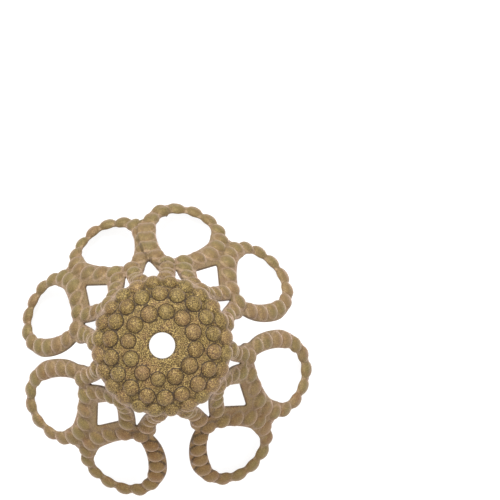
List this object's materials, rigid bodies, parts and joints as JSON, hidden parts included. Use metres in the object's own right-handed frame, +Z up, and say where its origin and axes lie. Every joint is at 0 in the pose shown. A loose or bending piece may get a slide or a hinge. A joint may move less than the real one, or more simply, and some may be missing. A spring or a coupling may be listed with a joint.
{
  "type": "filigree bead cap",
  "caption": "Domed filigree bead cap: a pierced bell of beaded straps, with a thread hole in the crown and paired teardrop petals round the mouth.",
  "frame": {"origin": "on the axis of the thread hole, in the plane that the petal tips stand on", "axes": "+Z up along the thread hole, out of the crown; +X and +Y fall between the lobes"},
  "size_m": [0.0221, 0.0218, 0.0153],
  "materials": {
    "brass": "matte antique brass, sandy and unpolished"
  },
  "bodies": {
    "root": {"bead_cap": "brass"}
  },
  "joints": []
}
